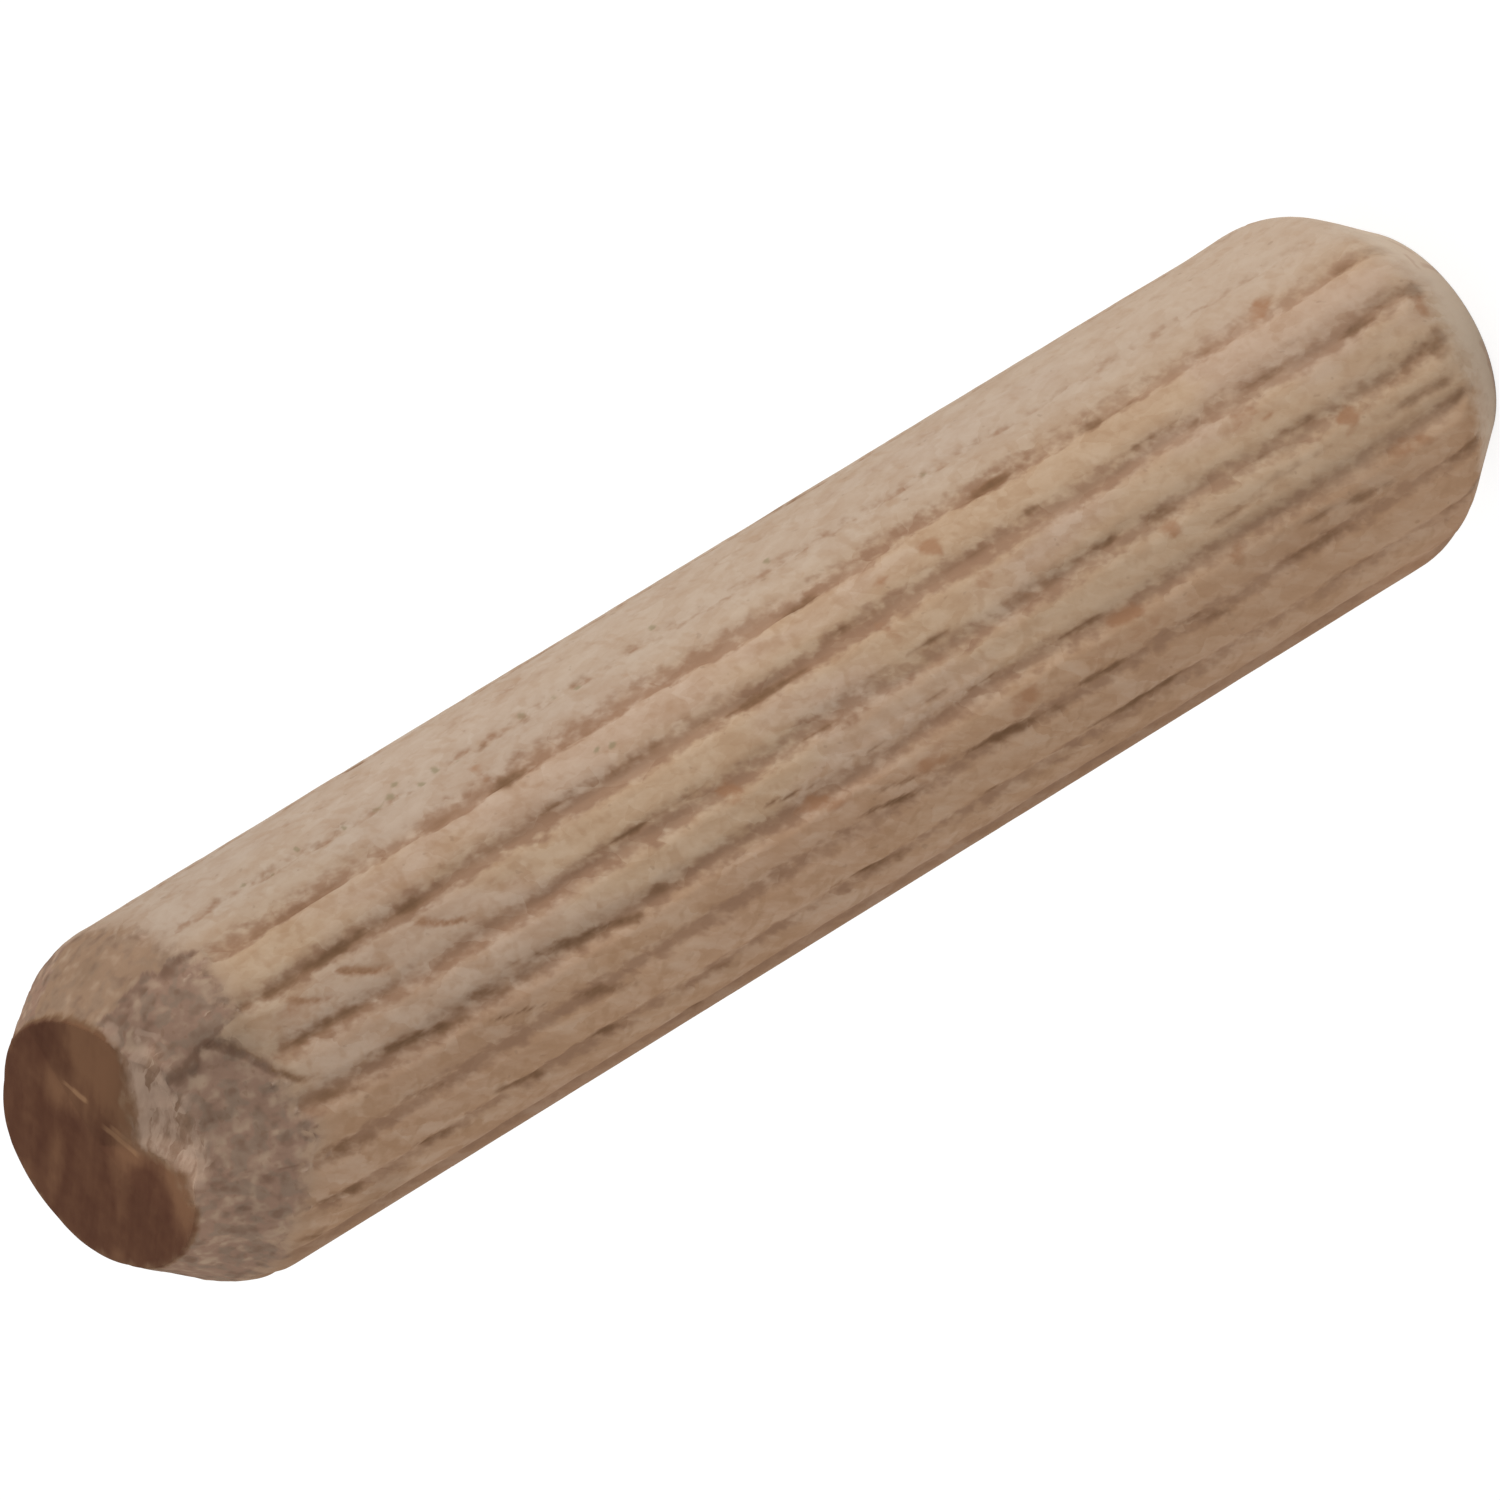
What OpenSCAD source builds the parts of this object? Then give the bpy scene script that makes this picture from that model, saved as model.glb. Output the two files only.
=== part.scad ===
// Fluted wooden dowel pin with chamfered ends.
// The pin stands on its lower end face: +Z runs up its axis and z = 0 is that face.

/* [Pin] */
// Diameter over the crests of the ribs
pin_d = 8; // [7:0.1:12]
// Length from end face to end face
pin_len = 38; // [20:0.5:80]

/* [Ends] */
// Diameter of the flat face at each end
face_d = 5.4; // [4:0.1:6.4]
// Length of the chamfer, measured to the sharp corner it would make with the shank
chamfer_len = 1.95; // [1:0.05:3]
// Radius that softens that corner
shoulder_r = 2; // [0.5:0.1:3]

/* [Flutes] */
// Number of flutes round the shank
flute_count = 20; // [8:1:22]
// Width of a flute at the crest circle
flute_w = 0.68; // [0.3:0.02:0.8]
// Depth of a flute below the crest circle
flute_depth = 0.3; // [0.2:0.01:0.5]
// Radius at the root of a flute
flute_root_r = 0.12; // [0.05:0.01:0.15]

/* [Hidden] */
$fn = 96;

pin_r = pin_d / 2;
face_r = face_d / 2;

// The chamfer meets the shank at chamfer_angle. The shoulder arc is tangent to both.
chamfer_angle = atan2(pin_r - face_r, chamfer_len);
shoulder_reach = shoulder_r * tan(chamfer_angle / 2);
shank_z = chamfer_len + shoulder_reach;
arc_r = pin_r - shoulder_reach * sin(chamfer_angle);
arc_z = chamfer_len - shoulder_reach * cos(chamfer_angle);

// A flute is a V whose flanks are tangent to the round root.
root_x = pin_r - flute_depth + flute_root_r;
root_drop = flute_depth - flute_root_r;
flank_reach = norm([root_drop, flute_w / 2]);
flank_angle = atan2(flute_w / 2, root_drop) - asin(flute_root_r / flank_reach);
cut_over = 0.5; // how far the cutter stands outside the crests and the end faces

// Half section of one end, from the end face at z = 0 up to the middle of the pin
module half_section() {
    polygon([
        [0, 0],
        [face_r, 0],
        [arc_r, arc_z],
        [pin_r, shank_z],
        [pin_r, pin_len / 2],
        [0, pin_len / 2]
    ]);
    intersection() {
        translate([pin_r - shoulder_r, shank_z]) circle(r = shoulder_r);
        translate([pin_r - shoulder_r, arc_z]) square([shoulder_r, shank_z - arc_z]);
    }
}

// Turned blank: the round pin with both chamfers, before the flutes are pressed in
module blank() {
    rotate_extrude() {
        half_section();
        translate([0, pin_len]) mirror([0, 1]) half_section();
    }
}

// Cross-section of one flute, opening along +X
module flute_section() {
    outer_half = flute_w / 2 + cut_over * tan(flank_angle);
    root_half = flute_root_r * cos(flank_angle);
    tangent_x = root_x - flute_root_r * sin(flank_angle);
    polygon([
        [pin_r + cut_over, -outer_half],
        [pin_r + cut_over, outer_half],
        [tangent_x, root_half],
        [tangent_x, -root_half]
    ]);
    translate([root_x, 0]) circle(r = flute_root_r);
}

// All the flutes, straight and evenly spaced, running out through the chamfers. A rib lies on +X.
module flutes() {
    translate([0, 0, -cut_over]) linear_extrude(pin_len + 2 * cut_over)
        for (i = [0 : flute_count - 1]) rotate((i + 0.5) * 360 / flute_count) flute_section();
}

module dowel_pin() {
    color([0.73, 0.62, 0.51]) difference() {
        blank();
        flutes();
    }
}

dowel_pin();
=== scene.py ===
import math
from types import SimpleNamespace

import bpy
import numpy as np
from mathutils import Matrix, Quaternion, Vector


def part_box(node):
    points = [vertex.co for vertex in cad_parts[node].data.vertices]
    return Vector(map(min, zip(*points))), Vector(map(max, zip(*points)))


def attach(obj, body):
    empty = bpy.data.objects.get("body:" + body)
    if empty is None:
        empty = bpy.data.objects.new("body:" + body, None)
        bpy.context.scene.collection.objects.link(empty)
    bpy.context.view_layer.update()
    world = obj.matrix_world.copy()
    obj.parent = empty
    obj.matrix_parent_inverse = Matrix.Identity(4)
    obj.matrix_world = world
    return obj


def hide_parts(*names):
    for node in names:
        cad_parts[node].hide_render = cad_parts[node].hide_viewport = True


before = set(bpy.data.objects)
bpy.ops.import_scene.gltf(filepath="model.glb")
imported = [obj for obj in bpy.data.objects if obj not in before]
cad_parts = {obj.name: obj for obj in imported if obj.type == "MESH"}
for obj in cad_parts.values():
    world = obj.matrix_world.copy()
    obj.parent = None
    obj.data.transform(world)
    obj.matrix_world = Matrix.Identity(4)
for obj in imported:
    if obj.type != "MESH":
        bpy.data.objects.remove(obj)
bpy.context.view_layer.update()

# Lengths are in millimetres here and turn into metres where something is placed in the scene.
# A "turn" is degrees round the pin, clockwise from above. A "drop" is millimetres below the upper end.
milli = 0.001
clearance = 0.004       # how far the ribs stay inside the solid
turnStart = -4.5        # where turn 0 lies, in degrees from +X towards +Y
lowCorner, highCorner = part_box("dowel_pin")
crestRadius = (highCorner.y - lowCorner.y) / 2 / milli - clearance
pinLength = (highCorner.z - lowCorner.z) / milli
print("frame loaded: radius", round(crestRadius, 3), "length", round(pinLength, 3))

cameraSet = {
    "azimuth": -4.5,
    "elevation": 35.11,
    "roll": -121.51,        # the pin stands, and the picture shows it at a slant
    "distance": 681.4,      # from the middle of the pin
    "lens": 803.6,
    "sensor": 36,
    "slideRight": -0.236,
    "slideDown": 0.102,
}


def makeCamera(s):
    azimuth = math.radians(s["azimuth"])
    elevation = math.radians(s["elevation"])
    back = Vector((math.sin(azimuth) * math.cos(elevation), -math.cos(azimuth) * math.cos(elevation),
                   math.sin(elevation)))
    turned = (-back).to_track_quat("-Z", "Y") @ Quaternion((0, 0, 1), math.radians(s["roll"]))
    right = turned @ Vector((1, 0, 0))
    down = turned @ Vector((0, -1, 0))
    centre = Vector((0, 0, pinLength / 2))
    spot = centre + back * s["distance"] + right * s["slideRight"] + down * s["slideDown"]
    data = bpy.data.cameras.new("camera")
    data.lens = s["lens"]
    data.sensor_width = s["sensor"]
    data.clip_start = 0.05
    data.clip_end = 50
    camera = bpy.data.objects.new("camera", data)
    camera.location = spot * milli
    camera.rotation_mode = "QUATERNION"
    camera.rotation_quaternion = turned
    bpy.context.scene.collection.objects.link(camera)
    bpy.context.scene.camera = camera


makeCamera(cameraSet)
print("camera set")

studioSet = {
    "ambient": 0.62,        # light from all round, 1 = full white
    "keyLamp": {"turn": 35, "elevation": 12, "strength": 1.46, "spread": 26},     # beside the camera
    "fillLamp": {"turn": 250, "elevation": 30, "strength": 0.75, "spread": 60},   # from behind
    "floorRadius": 900,
    "floorCorners": 96,
    "floorDrop": 0.01,      # how far the floor lies below the pin
    "floorGrey": 0.80,      # what the floor sends back to the pin
    "floorShade": 0.30,     # the part of the floor's look that takes a shadow
    "floorGlow": 0.83,      # the part that doesn't
}


def sunLamp(name, s):
    angle = math.radians(turnStart - s["turn"])
    climb = math.radians(s["elevation"])
    level = math.cos(climb)
    towards = Vector((math.cos(angle) * level, math.sin(angle) * level, math.sin(climb)))
    data = bpy.data.lights.new(name, "SUN")
    data.energy = s["strength"]
    data.angle = math.radians(s["spread"])
    lamp = bpy.data.objects.new(name, data)
    lamp.rotation_mode = "QUATERNION"
    lamp.rotation_quaternion = towards.to_track_quat("Z", "Y")
    bpy.context.scene.collection.objects.link(lamp)


class Wire:
    # One output socket. Sums on it add Math nodes, and node() adds any other kind.
    def __init__(self, tree, socket=None):
        self.tree = tree
        self.socket = socket

    def node(self, kind, settings=None, inputs=None, output=0):
        made = self.tree.nodes.new(kind)
        for key, value in (settings or {}).items():
            setattr(made, key, value)
        for key, value in (inputs or {}).items():
            if isinstance(value, Wire):
                self.tree.links.new(value.socket, made.inputs[key])
            else:
                made.inputs[key].default_value = value
        return Wire(self.tree, made.outputs[output]) if len(made.outputs) else None

    def sum(self, operation, first, second):
        return self.node("ShaderNodeMath", {"operation": operation}, {0: first, 1: second})

    def __add__(self, other):
        return self.sum("ADD", self, other)

    def __radd__(self, other):
        return self.sum("ADD", other, self)

    def __sub__(self, other):
        return self.sum("SUBTRACT", self, other)

    def __rsub__(self, other):
        return self.sum("SUBTRACT", other, self)

    def __mul__(self, other):
        return self.sum("MULTIPLY", self, other)

    def __rmul__(self, other):
        return self.sum("MULTIPLY", other, self)


def newFinish(name):
    material = bpy.data.materials.new(name)
    material.use_nodes = True
    material.node_tree.nodes.clear()
    return material, Wire(material.node_tree)


def makeFloor(s):
    count = s["floorCorners"]
    radius = s["floorRadius"] * milli
    rim = [2 * math.pi * i / count for i in range(count)]
    points = [(math.cos(a) * radius, math.sin(a) * radius, 0) for a in rim]
    mesh = bpy.data.meshes.new("floor")
    mesh.from_pydata(points, [], [list(range(count))])
    floor = bpy.data.objects.new("floor", mesh)
    floor.location.z = -s["floorDrop"] * milli
    bpy.context.scene.collection.objects.link(floor)
    material, start = newFinish("paleFloor")
    looked = start.node("ShaderNodeLightPath", output="Is Camera Ray")
    mirrored = start.node("ShaderNodeLightPath", output="Is Glossy Ray")
    seen = start.sum("MAXIMUM", looked, mirrored)
    grey = (s["floorGrey"],) * 3 + (1,)
    shade = (s["floorShade"],) * 3 + (1,)
    plain = start.node("ShaderNodeBsdfDiffuse", inputs={"Color": grey})
    shaded = start.node("ShaderNodeBsdfDiffuse", inputs={"Color": shade})
    glow = start.node("ShaderNodeEmission", inputs={"Color": (1, 1, 1, 1), "Strength": s["floorGlow"]})
    white = start.node("ShaderNodeAddShader", inputs={0: shaded, 1: glow})
    both = start.node("ShaderNodeMixShader", inputs={0: seen, 1: plain, 2: white})
    start.node("ShaderNodeOutputMaterial", inputs={"Surface": both})
    mesh.materials.append(material)


def makeWorld(s):
    world = bpy.data.worlds.new("studio")
    world.use_nodes = True
    world.node_tree.nodes.clear()
    bpy.context.scene.world = world
    start = Wire(world.node_tree)
    looked = start.node("ShaderNodeLightPath", output="Is Camera Ray")
    strength = looked * (1.0 - s["ambient"]) + s["ambient"]
    sky = start.node("ShaderNodeBackground", inputs={"Color": (1, 1, 1, 1), "Strength": strength})
    start.node("ShaderNodeOutputWorld", inputs={"Surface": sky})


makeFloor(studioSet)
makeWorld(studioSet)
for lampName in ("keyLamp", "fillLamp"):
    sunLamp(lampName, studioSet[lampName])
bpy.context.scene.view_settings.view_transform = "Standard"
print("studio set")

pinShape = {
    "endFaceRadius": 2.70,
    "chamferLength": 1.95,
    "shoulderRadius": 2.00,
    "fluteCount": 20,
    "fluteHalfWidth": 0.34,
    "fluteDepth": 0.30,
    "fluteBlunt": 0.05,         # how soft the corner between flute and rib is
    "firstFlute": 4.5,          # turn of flute 0
    "columnsPerFlute": 16,
    "tipDepth": 0.13,           # how much deeper a flute is where it runs out at the lower end
    "ribRough": 0.011,          # unevenness of the ribs' skin
    "grainDepth": 0.03,         # torn end grain on the upper chamfer
    "tearDepth": 0.03,
    "chipDepth": 0.05,
    "splitDepth": 0.035,
    "flakeHeight": 0.05,
    "discRadius": 2.78,         # the burnished disc on the upper end face, where nothing is worn off it
    "faceSink": 0.03,           # how far that disc is dished
    "lipSink": 0.20,            # how much deeper the lip beside it is worn
    "wornSide": 0.035,          # how flat the pin is on the side of turn 0
    "upperOff": 0.10,           # how far each end was turned off centre, towards turn 0
    "lowerOff": 0.045,
}

# Flute number: turn it is off by, share of the full depth, root's place from -1 (low turn) to 1,
# share of the width
fluteHabit = {
    0: (0.0, 0.40, 0.2, 1.0),
    1: (0.0, 0.14, 0.2, 1.0),
    2: (0.5, 0.26, 0.2, 0.8),
    3: (-3.6, 0.61, 0.60, 1.10),
    4: (-0.9, 0.66, 0.10, 1.10),
    5: (0.0, 0.58, 0.05, 1.10),
    6: (-0.3, 0.55, 0.00, 1.15),
    7: (-2.0, 0.58, 0.15, 1.05),
    8: (-1.0, 0.53, 0.10, 1.00),
    9: (-1.0, 0.48, 0.20, 1.00),
    19: (0.5, 0.65, 0.0, 1.0),
}

# Fibre torn open along a flute, cut in a little and painted dark as the shade in it: drop from, drop to,
# turn, half width, strength
darkStreaks = [
    (2.3, 6.6, 58.2, 0.09, 0.45), (3.0, 3.9, 58.2, 0.08, 0.4), (8.1, 9.6, 58.0, 0.07, 0.4),
    (10.3, 11.4, 58.0, 0.16, 1.0), (18.7, 19.9, 59.0, 0.10, 0.75), (24.2, 25.7, 57.7, 0.11, 0.9),
    (27.3, 28.4, 58.6, 0.10, 0.85), (28.6, 29.1, 59.0, 0.06, 0.6), (31.1, 31.4, 57.0, 0.06, 0.5),
    (34.7, 36.2, 57.7, 0.08, 0.7), (12.0, 13.6, 58.8, 0.07, 0.4), (2.1, 4.0, 76.2, 0.13, 0.75),
    (3.7, 6.1, 76.0, 0.13, 0.95), (5.9, 7.8, 76.0, 0.13, 0.8), (10.6, 12.1, 72.8, 0.06, 0.7),
    (7.3, 10.5, 74.5, 0.10, 0.3), (12.0, 15.0, 73.6, 0.12, 0.45), (16.1, 18.3, 77.3, 0.10, 0.95),
    (15.2, 15.7, 75.2, 0.07, 0.6), (18.9, 20.5, 73.2, 0.08, 0.6), (22.7, 24.1, 74.0, 0.06, 0.4),
    (24.5, 25.6, 72.2, 0.07, 0.6), (27.6, 29.7, 72.4, 0.06, 0.6), (29.3, 30.1, 75.5, 0.08, 0.55),
    (31.3, 32.8, 74.5, 0.07, 0.6), (32.6, 33.4, 70.0, 0.09, 0.45), (34.0, 35.1, 76.4, 0.07, 1.0),
    (35.1, 36.8, 74.4, 0.13, 0.6), (2.0, 5.3, 93.2, 0.12, 0.65), (11.5, 13.2, 91.6, 0.06, 0.9),
    (12.8, 15.0, 91.4, 0.07, 0.5), (17.2, 18.2, 95.6, 0.07, 0.6), (18.4, 19.8, 90.2, 0.06, 0.65),
    (20.5, 21.7, 90.1, 0.07, 0.75), (22.6, 26.0, 92.5, 0.18, 0.35), (25.5, 26.8, 92.0, 0.08, 0.7),
    (27.3, 28.2, 94.4, 0.12, 0.85), (30.4, 31.0, 95.0, 0.07, 0.7), (31.2, 32.6, 92.4, 0.09, 0.75),
    (33.2, 36.4, 92.8, 0.24, 0.45), (35.3, 36.4, 93.8, 0.14, 0.7), (32.7, 33.3, 94.4, 0.10, 0.6),
    (2.1, 3.9, 112.2, 0.17, 0.5), (4.3, 6.9, 111.2, 0.13, 0.8), (8.6, 11.9, 111.6, 0.14, 0.75),
    (6.2, 8.9, 110.8, 0.15, 0.5), (10.0, 11.8, 112.6, 0.10, 0.9), (9.4, 11.1, 111.6, 0.09, 0.8),
    (7.7, 9.0, 106.6, 0.05, 0.5), (12.0, 13.1, 111.2, 0.16, 0.6), (15.4, 16.9, 106.8, 0.045, 0.95),
    (17.9, 19.1, 108.0, 0.03, 0.6), (21.3, 22.7, 108.6, 0.045, 0.6), (19.8, 21.1, 104.2, 0.07, 0.55),
    (24.0, 25.3, 110.1, 0.07, 0.8), (28.4, 30.4, 104.6, 0.08, 0.6), (30.5, 32.0, 102.6, 0.08, 0.6),
    (34.2, 36.2, 104.0, 0.10, 0.7), (7.2, 8.7, 120.2, 0.04, 0.7), (18.3, 19.7, 122.0, 0.06, 0.55),
    (31.0, 32.1, 119.6, 0.07, 0.7), (32.1, 33.5, 122.0, 0.08, 0.75), (2.3, 3.7, 129.4, 0.18, 0.6),
    (4.9, 6.0, 128.0, 0.09, 0.65), (9.6, 11.2, 130.6, 0.12, 0.65), (14.4, 15.8, 127.0, 0.08, 0.45),
    (17.9, 19.8, 127.6, 0.09, 1.0), (21.2, 23.2, 128.0, 0.11, 1.0), (23.0, 24.1, 130.2, 0.11, 0.5),
    (24.3, 26.0, 127.4, 0.08, 0.85), (27.1, 28.1, 128.0, 0.09, 0.65), (28.2, 29.0, 131.8, 0.10, 0.6),
    (30.3, 32.7, 128.8, 0.09, 0.75), (2.1, 3.6, 146.4, 0.16, 0.8), (5.0, 6.2, 146.2, 0.16, 0.85),
    (7.2, 8.9, 145.4, 0.13, 0.8), (9.8, 11.3, 146.8, 0.14, 0.8), (17.2, 19.1, 146.6, 0.13, 0.85),
    (21.3, 22.0, 144.5, 0.09, 0.6), (24.8, 27.9, 145.4, 0.13, 1.0), (31.3, 33.0, 145.2, 0.11, 0.6),
    (35.0, 35.9, 146.0, 0.11, 0.45), (35.9, 36.9, 57.0, 0.12, 0.6), (36.0, 36.8, 75.2, 0.15, 0.8),
    (35.6, 36.6, 93.4, 0.18, 0.9), (35.4, 36.6, 110.6, 0.14, 0.8), (35.2, 36.6, 128.0, 0.14, 0.8),
    (35.8, 36.7, 145.5, 0.12, 0.7), (1.9, 2.8, 160.0, 0.30, 0.5), (13.0, 14.1, 164.5, 0.16, 0.8),
    (13.6, 14.6, 151.0, 0.10, 0.4),
]

# Warm ray flecks: drop, turn, half length, half width, tilt, strength
warmFlecks = [
    (15.0, 96.5, 0.62, 0.28, 50, 0.8), (17.0, 114.5, 0.70, 0.22, 22, 0.9),
    (27.8, 98.5, 0.45, 0.36, 0, 0.8), (33.1, 97.5, 0.45, 0.36, 0, 0.8),
    (25.9, 114.3, 0.70, 0.26, 0, 0.85), (33.2, 54.6, 0.50, 0.24, -12, 0.75),
    (34.3, 116.0, 0.80, 0.26, 10, 0.55), (20.0, 121.0, 0.60, 0.36, -10, 0.6),
    (22.7, 120.5, 0.60, 0.36, 0, 0.6), (21.1, 66.5, 0.22, 0.16, 0, 0.65),
    (22.6, 66.0, 0.32, 0.26, 0, 0.75), (20.4, 82.0, 0.26, 0.42, 0, 0.35),
    (10.5, 52.0, 0.26, 0.42, 20, 0.4), (24.9, 57.6, 0.72, 0.16, 0, 0.7),
    (23.1, 83.5, 0.30, 0.30, 0, 0.4), (30.6, 82.5, 0.55, 0.34, 0, 0.4),
    (31.3, 85.6, 0.26, 0.10, 0, 0.7), (36.2, 81.5, 0.28, 0.24, 0, 0.6),
    (29.1, 116.5, 0.40, 0.26, 30, 0.5), (9.6, 60.0, 0.5, 0.2, 0, 0.15),
    (25.9, 120.0, 2.4, 0.30, 0, 0.30), (2.9, 84.0, 0.35, 0.14, 12, 0.5),
    (36.4, 78.5, 0.40, 0.10, 0, 0.5),
]

# Fish-scale chips on the rib that faces the camera: drop of the chip's deep side, turn, size, strength
scaleChips = [
    (3.1, 84.5, 0.42, 0.7), (4.5, 84.8, 0.60, 1.0), (6.8, 85.0, 0.62, 1.0), (8.6, 84.5, 0.45, 0.3),
]

# Edge of the rough upper chamfer, as turn and drop
roughEdge = [
    (0, 1.95), (6, 2.05), (47, 2.05), (51, 2.20), (62, 2.15), (70, 2.00), (78, 1.95), (79.5, 1.30),
    (86, 1.55), (93, 1.80), (98, 2.00), (106, 1.95), (112, 2.10), (118, 2.30), (124, 2.10), (128, 1.95),
    (134, 1.90), (143, 1.78), (151, 1.70), (162, 1.62), (185, 1.75), (230, 2.05), (270, 1.85),
    (310, 2.10), (345, 2.00),
]

# Knife-cut facets of the upper chamfer: first turn, degrees it leans for each mm of drop, depth,
# how dark the painted shade along its recessed edge is
chamferCuts = [
    (3.0, 0.0, 0.03, 0.0), (43.3, 3.2, 0.07, 0.6), (82.0, -2.4, 0.12, 0.9), (127.0, 0.6, 0.06, 0.35),
    (160.0, -3.0, 0.04, 0.2), (205.0, 2.0, 0.09, 0.6), (248.0, -3.0, 0.07, 0.8),
    (290.0, 3.0, 0.10, 0.6), (330.0, 0.0, 0.05, 0.4),
]

# Lighter (+) and darker (-) places on that chamfer, the darker ones cut in a little and partly painted
# shade in those hollows: drop, turn, half length, half width, tilt, tone
chamferTones = [
    (0.35, 50.5, 0.40, 0.16, 8, -0.7), (1.10, 50.0, 0.42, 0.11, 8, -0.8),
    (1.70, 53.0, 0.50, 0.22, 5, -0.55), (0.95, 56.0, 0.55, 0.24, 0, -0.35),
    (0.90, 80.6, 0.75, 0.14, -5, -0.65), (0.35, 83.5, 0.22, 0.12, 0, -0.6),
    (1.55, 82.5, 0.30, 0.22, 20, -0.5), (0.60, 89.5, 0.16, 0.08, 0, -0.5),
    (1.30, 89.0, 0.10, 0.10, 0, -0.5), (0.45, 90.0, 0.16, 0.08, 20, -0.5),
    (0.95, 99.0, 0.12, 0.16, 0, -0.6), (0.60, 104.5, 0.20, 0.08, 20, -0.5),
    (1.15, 110.0, 0.12, 0.05, 0, -0.6), (1.65, 95.5, 0.16, 0.05, 0, -0.6),
    (1.75, 119.5, 0.35, 0.16, 10, -0.55), (0.90, 112.0, 0.12, 0.14, 30, -0.4),
    (1.28, 131.0, 0.16, 0.22, -50, -1.0), (1.75, 128.2, 0.34, 0.05, 0, -0.8),
    (0.98, 127.2, 0.22, 0.05, 5, -0.8), (0.42, 125.5, 0.24, 0.07, 12, -0.5),
    (0.95, 142.5, 0.20, 0.12, 15, -0.8), (1.25, 144.0, 0.24, 0.05, 10, -0.6),
    (0.88, 152.5, 0.20, 0.30, 60, -0.7), (0.55, 137.5, 0.22, 0.09, 10, -0.45),
    (1.60, 151.3, 0.12, 0.05, 0, -0.7), (0.25, 108.0, 0.07, 0.14, 0, -0.5),
    (1.75, 62.0, 0.14, 0.07, 10, -0.4), (1.10, 36.0, 0.12, 0.09, 0, -0.4),
    (1.25, 12.0, 0.50, 0.30, 0, -0.35), (1.75, 18.0, 0.30, 0.16, 30, -0.35),
    (0.60, 64.0, 0.16, 0.30, 0, -0.25), (1.50, 98.5, 0.55, 0.06, 38, -0.3),
    (0.45, 73.0, 0.06, 0.05, 0, -0.9), (0.40, 22.0, 0.30, 0.36, 0, 0.35),
    (0.42, 42.5, 0.26, 0.16, 10, 0.45), (0.75, 33.0, 0.30, 0.20, 0, 0.25),
    (1.10, 45.5, 0.24, 0.08, 5, 0.4), (0.50, 78.0, 0.34, 0.08, -5, 0.35),
    (1.85, 64.5, 0.30, 0.30, 0, 0.45), (0.70, 75.5, 0.45, 0.12, 0, 0.25),
    (1.10, 74.5, 0.40, 0.10, 0, 0.2), (1.05, 65.5, 0.14, 0.05, 0, 0.4),
    (0.68, 96.5, 0.18, 0.12, 0, 0.4), (1.45, 96.5, 0.22, 0.08, 0, 0.5),
    (1.80, 100.5, 0.20, 0.05, 0, 0.6), (1.62, 115.5, 0.22, 0.12, 5, 0.7),
    (1.20, 105.0, 0.30, 0.14, 0, 0.2), (1.30, 122.0, 0.28, 0.10, -10, 0.5),
    (0.85, 137.5, 0.10, 0.14, 0, 0.5), (2.05, 124.0, 0.24, 0.20, 0, 0.45),
    (2.02, 134.0, 0.20, 0.20, 0, 0.4), (1.60, 146.0, 0.35, 0.08, 8, 0.35),
    (0.45, 146.0, 0.34, 0.40, 0, 0.3), (1.30, 162.0, 0.50, 0.40, 0, 0.2),
    (0.85, 119.0, 0.30, 0.16, 0, 0.25), (0.30, 124.0, 0.16, 0.50, 0, 0.3),
]

# The same on the burnished disc: how far along +X and +Y, half length, half width, angle from +X, tone
discTones = [
    (-0.81, 1.49, 0.95, 0.72, -45, -0.9), (0.05, 0.57, 0.85, 0.52, -20, -0.9),
    (-1.51, -0.06, 1.25, 0.42, -66, -0.9), (2.03, 1.27, 0.50, 0.75, -60, -0.9),
    (2.49, -0.06, 0.35, 0.70, 0, -0.5), (1.00, 2.00, 0.55, 0.40, -30, -0.4),
    (0.23, 1.56, 1.15, 0.34, -60, 0.5), (-1.31, 0.57, 0.60, 0.26, -65, 0.4),
    (-0.59, -0.24, 0.85, 0.44, 105, 0.5), (1.20, -0.02, 0.80, 0.60, 20, 0.8),
    (0.89, -1.47, 1.40, 0.80, -20, 1.0), (-1.87, -1.46, 0.90, 0.50, -48, 0.8),
    (0.48, 2.46, 0.50, 0.30, -50, 0.4), (-1.94, 1.58, 0.34, 0.30, -60, 0.4),
    (1.53, 1.37, 0.50, 0.30, -55, 0.3), (1.69, -1.20, 1.10, 0.50, -50, 0.7),
    (-0.62, -0.95, 0.75, 0.40, 30, 0.7), (2.68, 0.62, 0.20, 0.24, 0, 0.6),
    (-1.25, -1.80, 0.80, 0.50, -58, 0.9), (1.62, -1.95, 0.80, 0.50, 20, 0.8),
]

# Edge of the burnished disc on the upper end face, as turn and radius
burnEdge = [
    (0, 2.86), (56, 2.84), (64, 2.45), (72, 2.02), (83, 1.65), (95, 1.30), (108, 1.18), (116, 1.50),
    (120, 2.30), (123, 2.60), (127, 2.45), (133, 2.50), (140, 2.68), (150, 2.74), (200, 2.76),
    (280, 2.78), (340, 2.84),
]

# How far the rim of the upper end stands out, as turn and millimetres
rimPush = [
    (0, 0.06), (60, 0.03), (150, 0.04), (190, 0.04), (209, 0.00), (222, 0.03), (238, 0.05), (254, 0.03),
    (272, 0.06), (290, 0.08), (300, 0.07), (322, 0.00), (345, 0.09),
]

# A split that runs from the chamfer into the shank, cut in a little and painted dark as the shade in it, as
# drop and turn
splitLine = [(1.20, 79.0), (1.60, 88.0), (1.80, 93.0), (2.00, 98.0), (2.40, 102.5), (3.05, 106.2)]

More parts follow.
